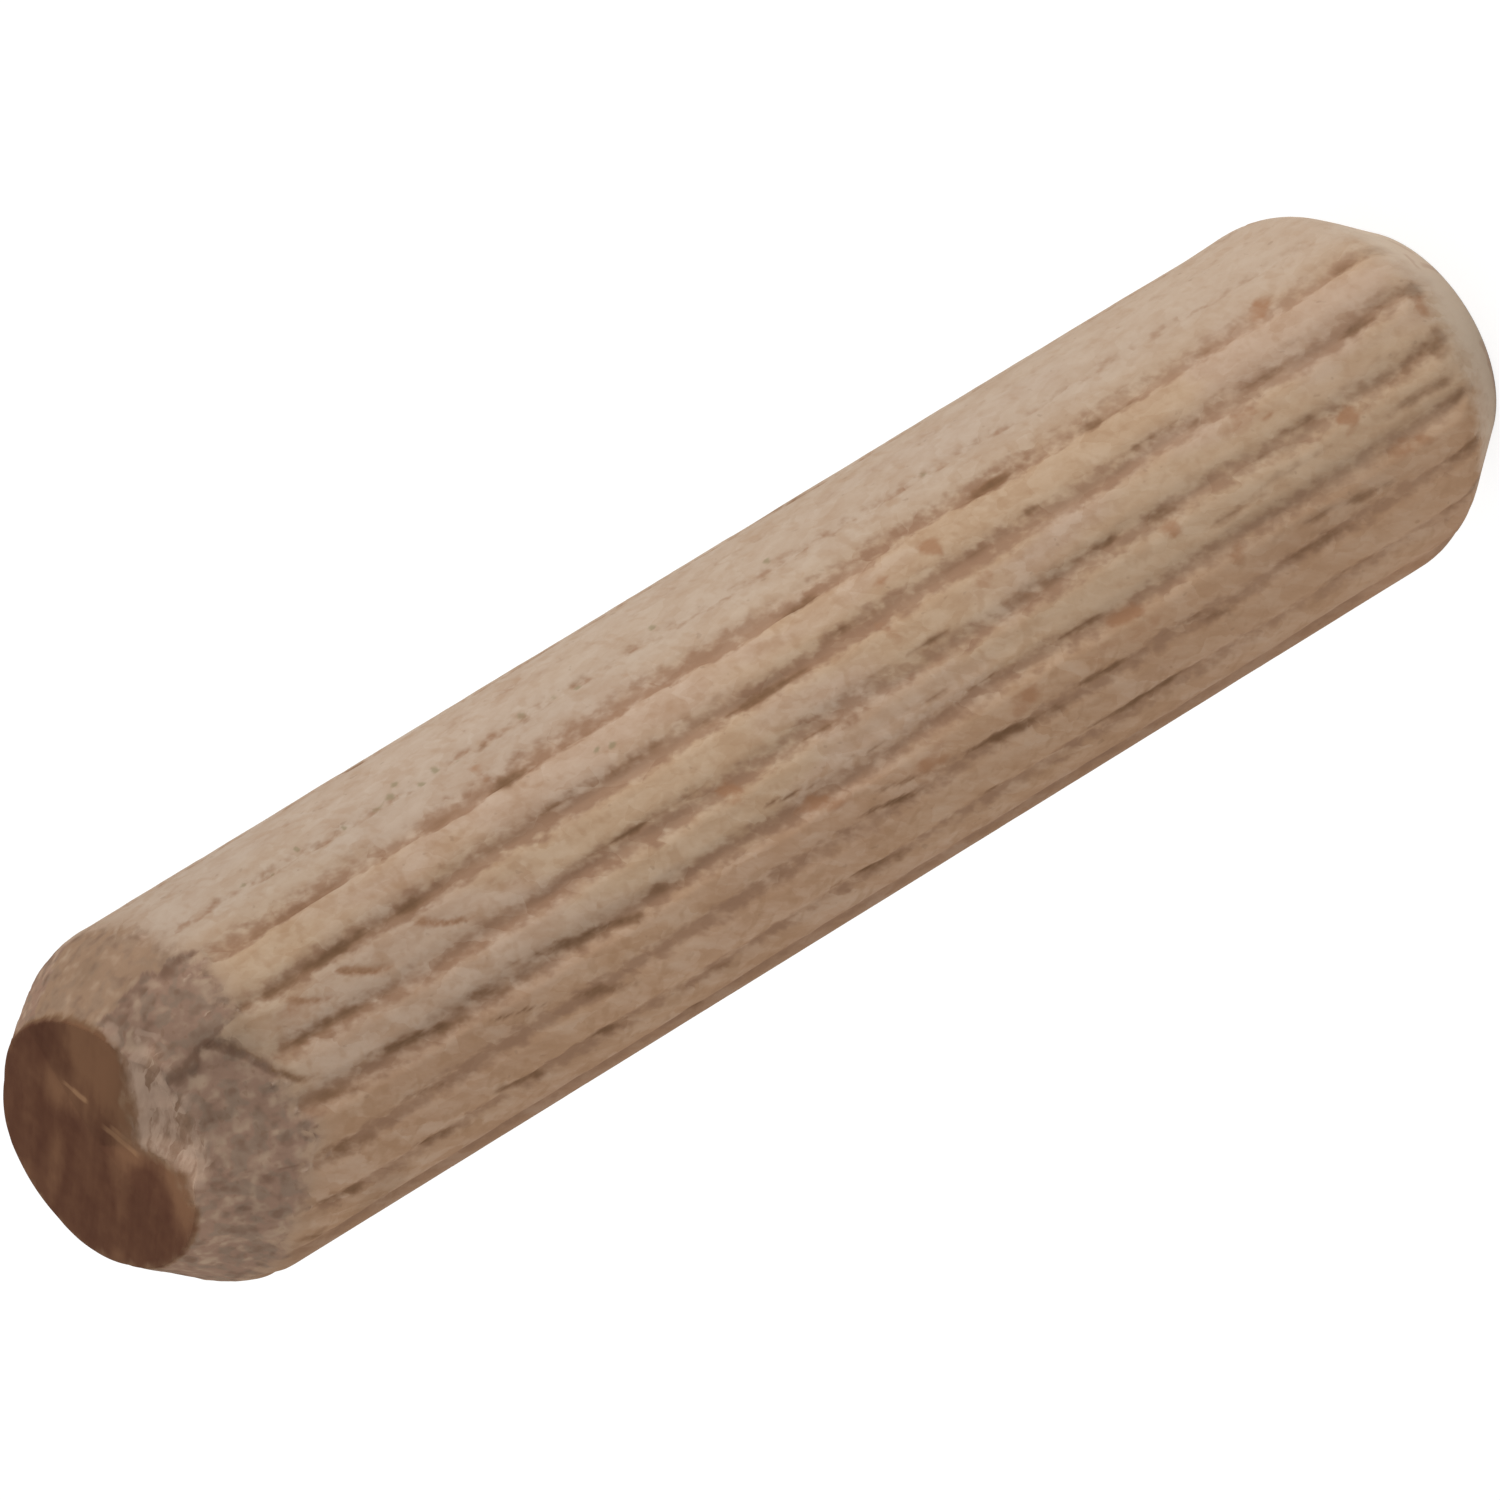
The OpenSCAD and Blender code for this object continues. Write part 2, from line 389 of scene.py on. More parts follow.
# Small olive specks on the flattened side: drop, turn, radius
oliveSpecks = [
    (4.6, 39.5, 0.10), (5.3, 42.0, 0.08), (6.2, 38.5, 0.09), (7.4, 41.0, 0.11), (8.3, 41.5, 0.12),
    (8.7, 40.0, 0.13), (9.1, 36.6, 0.10), (9.5, 42.5, 0.11), (10.0, 40.0, 0.14), (10.5, 42.0, 0.10),
    (11.4, 37.0, 0.08), (12.6, 39.5, 0.12), (13.4, 40.0, 0.12), (14.0, 42.0, 0.10), (16.5, 36.5, 0.10),
    (12.9, 65.5, 0.10), (13.3, 66.5, 0.09), (19.8, 37.5, 0.09), (24.2, 40.5, 0.10),
]

# Pale flakes that stand up beside the rough edge: drop, turn, half length, half width
paleFlakes = [
    (1.84, 72.2, 0.10, 0.06), (1.78, 58.5, 0.14, 0.05), (0.42, 72.6, 0.07, 0.07),
    (2.62, 128.8, 0.13, 0.08), (1.97, 130.6, 0.09, 0.06), (2.02, 144.5, 0.13, 0.10),
    (1.66, 155.0, 0.10, 0.10), (2.30, 57.0, 0.12, 0.06), (2.06, 76.0, 0.07, 0.16),
    (1.55, 72.4, 0.14, 0.04), (1.16, 43.5, 0.07, 0.05), (0.40, 62.0, 0.05, 0.20),
    (1.86, 100.5, 0.12, 0.04), (2.10, 111.0, 0.10, 0.06), (2.36, 118.0, 0.12, 0.05),
]

# Painted shade (-) and painted light (+): slightly darker and lighter places all over the pin: drop, turn,
# half length, half width, tone
shadeSpots = [
    (0.4, 60, 0.35, 0.5, -0.05), (0.4, 72, 0.35, 0.35, 0.04), (0.4, 72, 0.35, 0.5, 0.06),
    (0.4, 72, 0.4, 0.4, 0.05), (0.4, 73.5, 0.4, 0.55, 0.07), (0.4, 120, 0.35, 0.4, -0.045),
    (0.4, 120, 0.4, 0.4, -0.035), (0.5, 57, 0.55, 0.6, -0.06), (0.7, 58, 0.7, 0.5, -0.04),
    (1, 24, 0.4, 0.5, -0.09), (1, 49, 0.45, 0.4, -0.05), (1, 50, 0.4, 0.4, -0.03),
    (1, 144, 0.4, 0.5, -0.095), (1.2, 84, 0.8, 0.4, -0.035), (1.6, 36, 0.4, 0.5, 0.04),
    (1.6, 72, 0.4, 0.5, 0.115), (1.6, 120, 0.4, 0.4, -0.035), (2.1, 84.5, 1.1, 0.55, -0.1),
    (2.9, 54, 1, 0.9, 0.03), (4.2, 156, 0.9, 0.6, -0.07), (4.2, 156, 1, 0.5, -0.03),
    (4.3, 156, 1, 0.5, -0.04), (5, 76, 3.2, 0.4, -0.035), (5.2, 84, 3.2, 0.55, -0.03),
    (5.6, 119.5, 4.6, 0.55, -0.07), (8, 108, 3.5, 0.4, -0.035), (8.5, 109, 5, 0.45, -0.03),
    (9.5, 62, 6, 2.2, -0.04), (10.5, 108, 3, 0.4, -0.025), (11, 72, 2.2, 0.5, -0.035),
    (11, 167, 2.5, 0.7, 0.05), (13.5, 136, 5.5, 0.9, 0.05), (14, 42, 4, 0.8, -0.015),
    (14, 60, 12, 0.5, 0.022), (20, 108, 5, 0.4, 0.025), (21, 108, 4, 0.4, 0.03),
    (23, 110, 3, 0.5, 0.06), (31.3, 116, 3.6, 0.8, -0.08), (34.3, 167, 1.6, 0.7, 0.07),
    (34.5, 78, 2, 0.9, -0.035), (34.5, 168, 1.4, 0.6, 0.03), (34.5, 168, 1.6, 0.7, 0.04),
]

# Broad shading: tone, turns it comes in over, turns it fades over, drops it comes in over, drops it
# fades over, and whether the end faces have it too. None is no limit.
shadeFields = [
    (0.06, None, None, (26, 37), None, True),
    (-0.09, None, (100, 125), None, (3, 11), True),
    (0.09, (100, 125), (156, 168), None, None, True),
    (-0.10, (52, 70), (100, 118), None, (1.8, 2.4), True),
    (-0.04, (70, 76), (86, 96), None, (9, 14), False),
    (0.07, (124, 134), (175, 185), None, (0.5, 0.9), False),
    (0.04, None, (40, 46), None, (1.9, 2.2), False),
    (-0.045, (62, 72), (122, 132), (29, 34), None, True),
    (-0.04, (42, 50), (118, 128), None, (0.6, 1.0), False),
    (-0.018, (64, 72), (100, 108), (12, 18), None, True),
]


def ease(low, high, value):
    t = np.clip((value - low) / (high - low), 0, 1)
    return t * t * (3 - 2 * t)


def between(comeIn, fade, value):
    # 1 between two slopes and 0 outside them
    inside = 1.0 if comeIn is None else ease(*comeIn, value)
    return inside if fade is None else inside * (1 - ease(*fade, value))


def blend(grid, i, after, k, u, v):
    # Smooth steps between four neighbours on a grid of random values
    u = u * u * (3 - 2 * u)
    v = v * v * (3 - 2 * v)
    low = grid[i, k] * (1 - u) + grid[after, k] * u
    high = grid[i, k + 1] * (1 - u) + grid[after, k + 1] * u
    return low * (1 - v) + high * v


def bumps(seed, turn, height, cells, step):
    # Even random bumps from -1 to 1, with so many cells round the pin and one each step along it
    rows = int(pinLength / step) + 6
    grid = np.random.default_rng(seed).uniform(-1, 1, (cells, rows))
    across = turn / 360 * cells
    along = height / step + 2
    i = np.floor(across).astype(int)
    k = np.clip(np.floor(along).astype(int), 0, rows - 2)
    return blend(grid, i % cells, (i + 1) % cells, k, across - i, np.clip(along - k, 0, 1))


def planeBumps(seed, x, y, step):
    # The same over a flat face, from its own x and y
    size = int(2 * crestRadius / step) + 6
    grid = np.random.default_rng(seed).uniform(-1, 1, (size, size))
    across = (x + crestRadius) / step + 1
    along = (y + crestRadius) / step + 1
    i = np.clip(np.floor(across).astype(int), 0, size - 2)
    k = np.clip(np.floor(along).astype(int), 0, size - 2)
    return blend(grid, i, i + 1, k, np.clip(across - i, 0, 1), np.clip(along - k, 0, 1))


def roundList(points, turn):
    # Straight steps between listed turns, closed round the pin
    turns = [p[0] for p in points]
    values = [p[1] for p in points]
    return np.interp(turn % 360, turns + [360 + turns[0]], values + [values[0]])


def turned(x, y, degrees):
    # The same offsets along and across a direction
    cosine = math.cos(math.radians(degrees))
    sine = math.sin(math.radians(degrees))
    return x * cosine + y * sine, y * cosine - x * sine


def layers(g, *each):
    # Bumps of several sizes on one skin: seed, cells round the pin, step along it, weight
    return sum(weight * bumps(seed, g.turn, g.height, count, step) for seed, count, step, weight in each)


def acrossFrom(g, placeTurn):
    # Millimetres round the crest circle from a turn
    return np.radians((g.turn - placeTurn + 180) % 360 - 180) * crestRadius


def smudge(g, place, placeTurn, halfLength, halfWidth, tilt=0.0, rough=None, power=2.0, core=0.45):
    # Soft-edged oval, 1 in its middle and 0 outside. A lower power gives it pointed ends.
    along, aside = turned(g.drop - place, acrossFrom(g, placeTurn), tilt)
    reach = (np.abs(along) / halfLength) ** power + (np.abs(aside) / halfWidth) ** power
    reach = reach ** (1 / power)
    if rough is not None:
        reach = reach + 0.28 * rough
    return 1 - ease(core, 1.12, reach)


def blankRadius(s, fromEnd):
    # The turned pin before it is fluted
    face = s["endFaceRadius"]
    chamfer = s["chamferLength"]
    shoulder = s["shoulderRadius"]
    slope = math.atan2(crestRadius - face, chamfer)
    reach = shoulder * math.tan(slope / 2)
    radius = face + (crestRadius - face) * fromEnd / chamfer
    inArc = fromEnd > chamfer - reach * math.cos(slope)
    span = np.clip(chamfer + reach - fromEnd, 0, shoulder)
    arc = crestRadius - shoulder + np.sqrt(np.maximum(shoulder ** 2 - span ** 2, 0))
    return np.minimum(np.where(inArc, arc, radius), crestRadius)


def makeStations(s):
    # Rows from the middle of the lower face, out, up the side, and in to the middle of the upper face.
    # The kind is -1 on the lower face, 0 on the side and 1 on the upper face.
    lowFace = np.array([0.35, 0.8, 1.25, 1.7, 2.1, 2.4, 2.6, 2.67])
    topFace = np.array([2.67, 2.6, 2.5, 2.38, 2.25, 2.1, 1.95, 1.8, 1.65, 1.5, 1.35, 1.2, 1.0, 0.75,
                        0.45, 0.2])
    lowSide = np.concatenate([[0.0, 0.04], np.arange(0.12, 2.7, 0.105)])
    topSide = np.concatenate([[0.0, 0.03], np.arange(0.08, 2.7, 0.058), np.arange(2.75, 8.0, 0.105)])
    middle = np.arange(lowSide[-1] + 0.17, pinLength - topSide[-1] - 0.08, 0.181)
    heights = np.concatenate([lowSide, middle, (pinLength - topSide)[::-1]])
    radii = np.concatenate([lowFace, blankRadius(s, np.minimum(heights, pinLength - heights)), topFace])
    zs = np.concatenate([np.zeros(len(lowFace)), heights, np.full(len(topFace), pinLength)])
    kinds = np.repeat([-1, 0, 1], [len(lowFace), len(heights), len(topFace)])
    return radii, zs, kinds


def fluteField(s, gridTurn, height):
    # Works on the flutes' own grid. Returns each point's turn, how far down the flute's section it
    # lies (0 on a rib, 1 at the root), and that flute's share of the full depth.
    count = s["fluteCount"]
    pitch = 360 / count
    chance = np.random.default_rng(41)
    shift = chance.uniform(-1.4, 1.4, count)
    share = chance.uniform(0.8, 1.05, count)
    skew = chance.uniform(-0.25, 0.25, count)
    width = chance.uniform(0.88, 1.05, count)
    for number, habit in fluteHabit.items():
        shift[number], share[number], skew[number], width[number] = habit
    place = (gridTurn - s["firstFlute"]) / pitch
    below = np.floor(place).astype(int)
    part = place - below
    part = part * part * (3 - 2 * part)
    off = shift[below % count] * (1 - part) + shift[(below + 1) % count] * part
    off = off + 0.6 * bumps(7, gridTurn, height, count, 5.0) + 0.3 * bumps(8, gridTurn, height, count, 1.6)

    nearest = np.round(place).astype(int)
    number = nearest % count
    across = np.radians((place - nearest) * pitch) * crestRadius
    half = s["fluteHalfWidth"] * width[number]

    def wander(seed, step):
        # One value for each flute, which changes along it
        return bumps(seed, number * pitch, height, count, step)

    lowEdge = half * (1 + 0.17 * wander(11, 0.40) + 0.08 * wander(12, 1.3))
    highEdge = half * (1 + 0.17 * wander(13, 0.40) + 0.08 * wander(14, 1.3))
    root = (skew[number] + 0.2 * wander(16, 2.2)) * half
    flank = np.where(across < root, (root - across) / (lowEdge + root), (across - root) / (highEdge - root))
    softRoot = 0.20
    softEdge = 0.17
    level = 1 - np.sqrt(flank ** 2 + softRoot ** 2) + softRoot * 0.35
    level = 0.5 * (level + np.sqrt(level ** 2 + softEdge ** 2)) - 0.05
    depth = share[number] * (1 + 0.16 * wander(15, 2.6))
    fullTurn = gridTurn % 360
    fade = 1 - 0.10 * (1 - ease(5, 22, height)) * between((40, 50), (170, 190), fullTurn)
    return gridTurn + off, np.clip(level, 0, 1), depth * fade


def makeGrid(s):
    # One value for each vertex: rows run up the pin and columns run round it
    count = s["fluteCount"] * s["columnsPerFlute"]
    radii, zs, kinds = makeStations(s)
    gridTurn, height = np.meshgrid(s["firstFlute"] + 360 * np.arange(count) / count, zs)
    g = SimpleNamespace(height=height, drop=pinLength - height)
    g.turn, g.level, g.depth = fluteField(s, gridTurn, height)
    g.fullTurn = g.turn % 360
    g.bare = np.repeat(radii[:, None], count, 1)
    kind = np.repeat(kinds[:, None], count, 1)
    g.side = kind == 0
    g.onTop = kind == 1
    g.rimRow = int(np.argmax(kinds == 1))
    fadeOut = np.where(g.onTop, g.bare / s["endFaceRadius"], 1 - ease(0.3, 2.3, g.drop))
    pushed = np.minimum(g.bare + roundList(rimPush, g.turn) * fadeOut, crestRadius)
    g.radius = np.where(g.side | g.onTop, pushed, g.bare)
    g.around = np.radians(turnStart - g.turn)
    g.discX = g.bare * np.cos(g.around)
    g.discY = g.bare * np.sin(g.around)
    g.ragged = layers(g, (33, 140, 0.30, 1))
    g.crumbs = layers(g, (38, 130, 0.13, 1), (39, 60, 0.3, 0.5))
    return g


def cutChamfer(s, g):
    # Knife-cut facets and torn end grain on the upper chamfer
    edge = roundList(roughEdge, g.turn) + 0.10 * bumps(21, g.turn, 5, 130, 1)
    edge = edge + 0.06 * bumps(22, g.turn, 9, 60, 1)
    rough = 1 - ease(-0.16, 0.12, g.drop - edge + layers(g, (28, 150, 0.12, 0.05)))
    rough = np.where(g.onTop, 1.0, rough)
    wobble = layers(g, (29, 30, 0.26, 2.0), (30, 60, 0.12, 1.4))
    leanDrop = np.clip(g.drop, 0, 2.2)
    facetCut = np.zeros_like(g.turn)
    facetEdge = np.zeros_like(g.turn)
    grey = np.zeros_like(g.turn)
    for i, (first, lean, depth, darkness) in enumerate(chamferCuts):
        after = chamferCuts[(i + 1) % len(chamferCuts)]
        lowTurn = first + lean * leanDrop
        width = (after[0] + after[1] * leanDrop - lowTurn) % 360
        t = (g.turn + wobble - lowTurn) % 360 / width
        inside = t < 1
        climb = np.maximum(1 - t, 0) ** 1.5 * ease(0.0, 0.09, t)
        facetCut = np.where(inside, depth * climb, facetCut)
        # Painted shade where each facet steps down
        facetEdge = np.where(inside, darkness * (1 - ease(0.0, 0.24, t)), facetEdge)
        grey = np.where(inside, float(i > 0), grey)      # the first facet is brown, the others are grey
    facetCut = facetCut * rough * ease(-0.1, 0.4, g.drop)
    grain = layers(g, (23, 110, 0.18, 1), (24, 210, 0.10, 0.6), (25, 50, 0.36, 0.9))
    grainCut = s["grainDepth"] * np.clip(0.4 + 0.45 * grain, 0, 2) * rough * g.side
    grainCut = grainCut * ease(0.0, 0.25, g.drop)
    tone = np.zeros_like(g.turn)
    for place, placeTurn, halfLength, halfWidth, tilt, strength in chamferTones:
        mark = smudge(g, place, placeTurn, halfLength, halfWidth, tilt, 0.9 * g.crumbs) * strength
        tone = np.where(np.abs(mark) > np.abs(tone), mark, tone)
    tone = tone * g.side
    grainCut = grainCut + 0.03 * np.clip(-tone, 0, 1) * rough
    return SimpleNamespace(edge=edge, cut=facetCut * g.side, grainCut=grainCut, edgeShade=facetEdge * g.side,
                           grey=grey, tone=tone)


def cutFlutes(s, g, edge):
    # Returns the radius with the flutes cut in, and how deep each vertex lies in one, from 0 to 1
    begin = edge + 0.02 + 0.10 * bumps(26, g.turn, 3, 40, 1)
    opened = ease(0.0, 0.22, g.drop - begin) * g.side
    tip = s["tipDepth"] * (1 - ease(1.0, 3.2, g.height)) * g.level
    floorNoise = layers(g, (31, 180, 0.55, 1), (32, 240, 0.22, 0.6))
    cut = s["fluteDepth"] * g.depth * g.level * (1 + 0.20 * floorNoise * g.level) + tip * g.depth
    bed = crestRadius - cut
    blunt = s["fluteBlunt"]
    fluted = 0.5 * (g.radius + bed - np.sqrt((g.radius - bed) ** 2 + blunt ** 2)) + blunt / 2
    fluted = np.minimum(np.where(g.side, fluted, g.radius), g.radius)
    grooved = np.clip((g.radius - fluted) / s["fluteDepth"], 0, 1) * opened
    return g.radius * (1 - opened) + fluted * opened, grooved


# Torn fibre, cut in a little, whose darkness is painted shade in the pits
def tornFibre(s, g, chance):
    tear = np.zeros_like(g.turn)
    for low, high, place, half, strength in darkStreaks:
        lean = 15 * ease(85, 128, place) * (1 - 0.8 * ease(14, 24, low))
        halfLength = (high - low) * 0.72 + 0.15
        halfWidth = half * (1.7 + 0.4 * ease(18, 26, low))
        mark = smudge(g, (low + high) / 2, place, halfLength, halfWidth, lean, g.ragged, 1.5, 0.05)
        tear = np.maximum(tear, mark * strength)
    # nine tears in each flute on the side away from the camera
    for number in range(10, 21):
        centre = s["firstFlute"] + number * 360 / s["fluteCount"]
        for _ in range(9):
            low = chance.uniform(2.2, 34)
            size = chance.uniform(0.5, 1.7)
            mark = smudge(g, low + size, centre + chance.uniform(-3, 3), size * 1.3,
                          chance.uniform(0.12, 0.24), 12.0, g.ragged, 1.5, 0.05)
            tear = np.maximum(tear, mark * chance.uniform(0.35, 1.0))
    # short slanted nicks along the smooth side
    for _ in range(44):
        low = chance.uniform(2.4, 35)
        mark = smudge(g, low, chance.uniform(38.5, 42.5), chance.uniform(0.2, 0.45),
                      chance.uniform(0.09, 0.16), -28.0, g.ragged, 1.5, 0.05)
        tear = np.maximum(tear, mark * chance.uniform(0.25, 0.5) * (1.0 if low < 17 else 0.5))
    return tear * g.side


def warmPlaces(g, chance):
    warm = np.zeros_like(g.turn)
    for place, placeTurn, halfLength, halfWidth, tilt, strength in warmFlecks:
        mark = smudge(g, place, placeTurn, halfLength * 1.15, halfWidth * 1.15, tilt, 1.1 * g.ragged,
                      core=0.1)
        warm = np.maximum(warm, mark * strength)
    # and some on the side away from the camera
    for _ in range(26):
        mark = smudge(g, chance.uniform(2.5, 36), chance.uniform(176, 365), chance.uniform(0.2, 0.6),
                      chance.uniform(0.12, 0.3), chance.uniform(-20, 20), 0.8 * g.ragged)
        warm = np.maximum(warm, mark * chance.uniform(0.3, 0.8))
    return warm * g.side


def scaleMarks(g):
    # Returns how deep each chip is, from 0 to 1, and the painted shadow along its deep side
    chip = np.zeros_like(g.turn)
    shadowLine = np.zeros_like(g.turn)
    for place, placeTurn, size, strength in scaleChips:
        across = acrossFrom(g, placeTurn)
        behind = g.drop - place - 1.0 * np.clip((across + 0.28) / 0.56, 0, 1.2) ** 1.6
        band = 1 - ease(0.20, 0.34, np.abs(across))
        deep = band * ease(-0.05, 0.05, behind) * (1 - ease(0.0, size, behind)) * strength
        chip = np.maximum(chip, deep)
        shadowLine = np.maximum(shadowLine, band * np.exp(-((behind - 0.05) / 0.22) ** 2) * strength * 0.8)
    return chip, shadowLine


# The split's darkness is painted shade in the crack
def splitMark(g):
    # Works from each vertex's distance to the split, on the pin's surface laid out flat
    distance = np.full_like(g.turn, 9.0)
    for (dropA, turnA), (dropB, turnB) in zip(splitLine[:-1], splitLine[1:]):
        runX = dropB - dropA
        runY = math.radians(turnB) * crestRadius - math.radians(turnA) * crestRadius
        x = g.drop - dropA
        y = np.radians(g.turn) * crestRadius - math.radians(turnA) * crestRadius
        run = np.clip((x * runX + y * runY) / (runX ** 2 + runY ** 2), 0, 1)
        distance = np.minimum(distance, np.hypot(x - run * runX, y - run * runY))
    return (1 - ease(0.0, 0.17, distance)) * g.side * (1 - 0.75 * ease(1.9, 3.05, g.drop))


def wearUpperFace(s, g):
    # The burnished disc, and the lip worn off it towards the camera's side
    torn = 0.09 * bumps(41, g.turn, 4, 60, 1) + 0.05 * planeBumps(42, g.discX, g.discY, 0.16)
    burn = np.mean([roundList(burnEdge, g.turn + k) for k in (-8, -5, -2, 0, 2, 5, 8)], 0)
    burn = burn + torn * ease(2.85, 2.5, burn) + 0.03 * torn
    reach = np.where(g.onTop, g.bare, s["endFaceRadius"] + g.drop * 2.0)
    onDisc = (1 - ease(-0.08, 0.08, reach - burn)) * (g.onTop | (g.side & (g.drop < 0.6)))
    eaten = ease(0.1, 0.6, s["discRadius"] - burn)
    burnt = np.clip(0.5 + (burn - reach - 0.30 * eaten) / (1.2 + 1.6 * eaten), 0, 1)
    burnt = burnt * (g.onTop | (g.side & (g.drop < 1.0)))

    evenBurn = np.mean([roundList(burnEdge, g.turn + k) for k in range(-12, 13, 3)], 0) + 0.5 * torn
    worn = ease(0.0, 0.85, reach - evenBurn) * ease(0.05, 0.6, s["discRadius"] - evenBurn)
    sink = s["faceSink"] * (1 + 0.5 * planeBumps(43, g.discX, g.discY, 0.9))
    strands = planeBumps(44, g.discX * 0.5, g.discY, 0.11) + planeBumps(45, g.discX, g.discY, 0.22)
    sink = sink + s["lipSink"] * worn ** 1.2 + 0.028 * (1 + strands) * (1 - onDisc)
    sink = np.where(g.onTop, np.maximum(sink, 0.002), 0.0)
    drag = 1 - ease(0.0, 0.45, g.drop)      # the rim sinks with the face
    nearRim = g.side & (g.height > pinLength - 0.6)
    height = g.height - np.where(nearRim, sink[g.rimRow][None, :] * drag, sink)

    overRim = eaten * (1 - ease(-0.1, 0.9, g.drop + 0.14 * g.crumbs)) * g.side
    fibre = np.clip(g.onTop * (1 - onDisc) * 0.9 + overRim, 0, 1)
    return SimpleNamespace(height=height, burnt=burnt, fibre=fibre, tone=discShade(g, eaten, burn))


def discShade(g, eaten, burn):
    shade = np.zeros_like(g.turn)
    for x, y, halfLength, halfWidth, angle, tone in discTones:
        along, aside = turned(g.discX - x, g.discY - y, angle)
        reach = np.hypot(along / halfLength, aside / halfWidth)
        shade = shade + (1 - ease(0.0, 1.45, reach)) * tone
    shade = np.maximum(shade, 0.95 * eaten * (1 - ease(0.05, 0.75, burn - g.bare)) * g.onTop)
    return np.clip(shade, -1, 1)


def turnOffCentre(s, g, shaped, height):
    # One side worn flat, and ends turned a little off centre
    upperPull = 1 - ease(0.9, 2.7, pinLength - height)
    lowerPull = 1 - ease(0.9, 2.7, height)
    facing = np.maximum(np.cos(np.radians(g.turn)), 0)
    shaped = shaped - s["wornSide"] * facing ** 1.5 * g.side * (1 - np.maximum(upperPull, lowerPull))
    swell = 0.06 * np.exp(-((height - 1.4) / 1.0) ** 2) - 0.015 * np.exp(-((height - 3.6) / 1.2) ** 2)
    shaped = np.where(g.side, np.minimum(shaped + swell * facing, crestRadius - 0.01), shaped)
    return shaped, s["upperOff"] * upperPull + s["lowerOff"] * lowerPull


# Painted light and shade, as a scale on the colour
def shadePin(g):
    tint = 0
    for tone, turnIn, turnOut, dropIn, dropOut, onFaces in shadeFields:
        field = tone * between(turnIn, turnOut, g.fullTurn) * between(dropIn, dropOut, g.drop)
        tint = tint + field * (1 if onFaces else g.side)
    for place, placeTurn, halfLength, halfWidth, tone in shadeSpots:
        tint = tint + smudge(g, place, placeTurn, halfLength, halfWidth) * tone
    return tint


def sculptPin(s):
    g = makeGrid(s)
    chamfer = cutChamfer(s, g)
    shaped, groove = cutFlutes(s, g, chamfer.edge)
    chance = np.random.default_rng(52)
    tear = tornFibre(s, g, chance)
    warm = warmPlaces(g, chance)
    chip, chipShadow = scaleMarks(g)
    split = splitMark(g)
    olive = np.zeros_like(g.turn)
    for place, placeTurn, size in oliveSpecks:
        olive = np.maximum(olive, smudge(g, place, placeTurn, size, size, 0.0, 0.6 * g.ragged))
    flake = np.zeros_like(g.turn)
    for place, placeTurn, halfLength, halfWidth in paleFlakes:
        mark = smudge(g, place, placeTurn, halfLength, halfWidth, 0.0, 0.5 * g.ragged)
        flake = np.maximum(flake, mark)
    lip = np.exp(-((g.drop - chamfer.edge - 0.10) / 0.10) ** 2) * g.side
    lip = lip * ease(-0.3, 0.6, layers(g, (27, 70, 0.3, 1)))

    shaped = shaped - chamfer.cut - chamfer.grainCut
    shaped = shaped - s["tearDepth"] * tear - s["chipDepth"] * chip - s["splitDepth"] * split
    shaped = shaped + s["flakeHeight"] * flake * g.side
    shaped = np.where(g.side, np.minimum(shaped, g.radius), shaped)
    skin = layers(g, (34, 160, 0.45, 1), (35, 90, 0.9, 0.8), (36, 240, 0.22, 0.5))
    skin = s["ribRough"] * (0.5 + 0.4 * skin) * ease(0.2, 0.6, g.drop) * ease(0.2, 2.4, g.height)
    shaped = shaped - np.maximum(skin, 0) * g.side
    face = wearUpperFace(s, g)
    shaped, pull = turnOffCentre(s, g, shaped, face.height)

    # Painted light and shade: -1 on the lit side of turn 0, 1 on the darker, shaded side and 0 between them
    zone = between((98, 128), (185, 215), g.fullTurn) - (1 - ease(38, 68, g.fullTurn))
    zone = zone - ease(330, 360, g.fullTurn)
    roughRamp = np.where(g.onTop, 1.0, np.clip(0.5 + (chamfer.edge - g.drop) / 2.4, 0, 1))
    masks = {
        "groove": groove,
        # Painted shade in the tears, the split and along the chips
        "tear": np.clip(np.maximum(tear, np.maximum(0.55 * chipShadow, split)), 0, 1),
        # The warm flecks, with the chips' painted shadow
        "warm": np.clip(warm + 0.9 * chipShadow, 0, 1),
        "rough": roughRamp * (face.height > pinLength / 2),
        "greyCut": chamfer.grey,
        "facetEdge": chamfer.edgeShade,
        "chamferTone": 0.5 + 0.5 * chamfer.tone,
        "discTone": 0.5 + 0.5 * face.tone,
        "zone": 0.5 + 0.5 * zone,
        # Where painted shade darkens the limb away from the light
        "shadeZone": between((154, 170), (185, 215), g.fullTurn),
        "burnt": face.burnt,
        "tint": 0.5 + shadePin(g),
        "olive": olive,
        "fibre": np.clip(np.maximum(np.maximum(flake, 0.7 * lip), face.fibre), 0, 1),
    }
    return g.around, shaped, face.height, pull, masks


